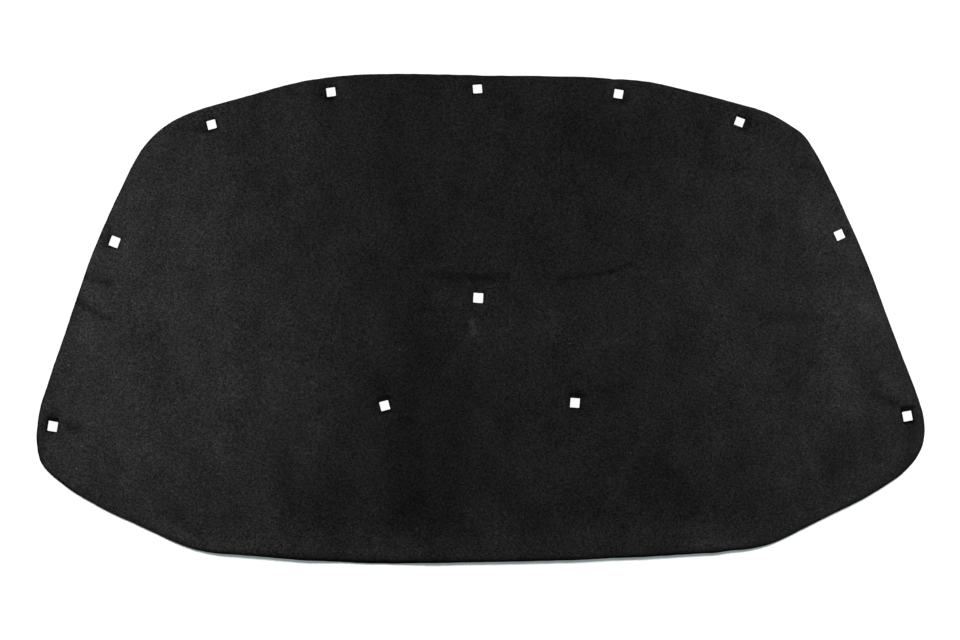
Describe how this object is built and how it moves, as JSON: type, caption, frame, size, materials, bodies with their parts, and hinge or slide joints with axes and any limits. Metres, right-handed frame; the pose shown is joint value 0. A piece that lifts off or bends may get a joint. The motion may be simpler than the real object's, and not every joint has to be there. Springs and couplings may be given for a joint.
{
  "type": "engine sound insulation pad",
  "caption": "Black felt sound insulation pad for the underside of a car bonnet, with rounded corners, a thin rolled edge and square clip holes",
  "frame": {"origin": "on the flat back face, at the middle of the pad's bounding box in X and Y", "axes": "+X across the car, +Y toward the narrow front edge, +Z out of the face that looks at the engine"},
  "size_m": [1.3316, 0.7318, 0.0112],
  "materials": {
    "felt": "matte"
  },
  "bodies": {
    "root": {"insulation_pad": "felt"}
  },
  "joints": []
}
